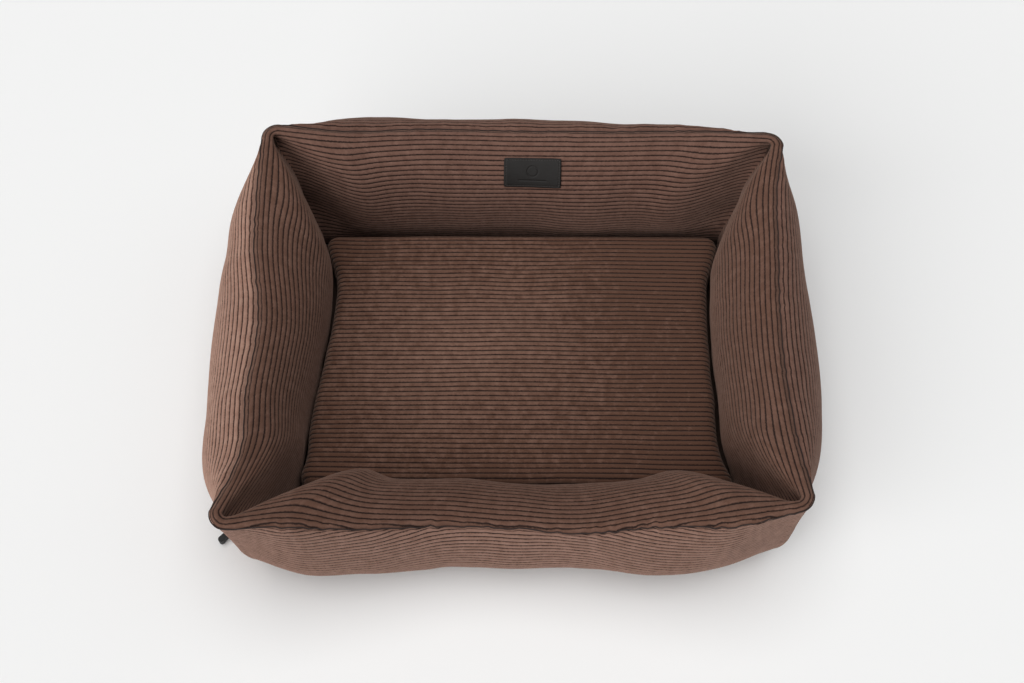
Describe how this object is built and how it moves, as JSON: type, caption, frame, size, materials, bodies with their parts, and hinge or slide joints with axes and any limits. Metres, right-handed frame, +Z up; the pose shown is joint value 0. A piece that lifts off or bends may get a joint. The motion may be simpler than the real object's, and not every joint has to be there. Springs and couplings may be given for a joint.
{
  "type": "pet cushion bed",
  "caption": "Rectangular bolster pet bed in wide-wale corduroy with four stuffed walls, a low front entry and a loose mattress cushion.",
  "frame": {"origin": "middle of the bed's floor plan, at the underside of the base cloth", "axes": "+Z up, +X along the bed's width, the low front entry wall faces -Y and the rear wall is at +Y"},
  "size_m": [0.732, 0.6004, 0.205],
  "materials": {
    "corduroy": "wide-wale corduroy, warm brown, soft sheen",
    "lining": "plain woven lining, dark brown",
    "base_cloth": "woven base cloth with small non-slip dots",
    "wadding": "bonded polyester wadding",
    "fibre_fill": "loose hollow polyester fibre",
    "label_leather": "debossed dark leather, satin",
    "label_thread": "twisted polyester thread",
    "zip_tape": "woven zip tape",
    "zip_teeth": "moulded zip teeth",
    "zip_metal": "black enamelled zip metal",
    "pull_tab": "soft moulded black tab"
  },
  "bodies": {
    "bed": {"base_cloth": "base_cloth", "base_wadding": "wadding", "floor_panel": "lining", "rear_wall_fill": "fibre_fill", "left_wall_fill": "fibre_fill", "front_wall_fill": "fibre_fill", "right_wall_fill": "fibre_fill", "rear_inner_panel": "corduroy", "left_inner_panel": "corduroy", "front_inner_panel": "corduroy", "right_inner_panel": "corduroy", "rear_outer_panel": "corduroy", "left_outer_panel": "corduroy", "front_outer_panel": "corduroy", "right_outer_panel": "corduroy", "rear_left_corner_seam": "corduroy", "front_left_corner_seam": "corduroy", "front_right_corner_seam": "corduroy", "rear_right_corner_seam": "corduroy", "rim_seam": "corduroy", "leather_label": "label_leather", "label_stitching": "label_thread", "cover_zip_tape": "zip_tape", "cover_zip_teeth": "zip_teeth", "cover_zip_stops": "zip_metal"},
    "cover_slider": {"cover_zip_slider": "zip_metal"},
    "cover_pull": {"cover_zip_link": "zip_metal", "cover_zip_tab": "pull_tab"},
    "mattress": {"mattress_fill": "fibre_fill", "mattress_top_cover": "corduroy", "mattress_bottom_cover": "corduroy", "mattress_zip_tape": "zip_tape", "mattress_zip_teeth": "zip_teeth"},
    "mattress_slider": {"mattress_zip_slider": "zip_metal", "mattress_zip_pull": "zip_metal"}
  },
  "joints": [
    {"name": "mattress_lift", "type": "slide", "parent": "bed", "child": "mattress", "axis": [0, 0, 1], "range_m": [0, 0.3]},
    {"name": "cover_zip_run", "type": "slide", "parent": "bed", "child": "cover_slider", "axis": [0, 1, 0], "range_m": [0, 0.371]},
    {"name": "cover_pull_swing", "type": "hinge", "parent": "cover_slider", "child": "cover_pull", "pos_m": [-0.3432, -0.21237, 0.008], "axis": [0, 0, 1], "range_deg": [-120, 15]},
    {"name": "mattress_zip_run", "type": "slide", "parent": "mattress", "child": "mattress_slider", "axis": [1, 0, 0], "range_m": [0, 0.257]}
  ]
}
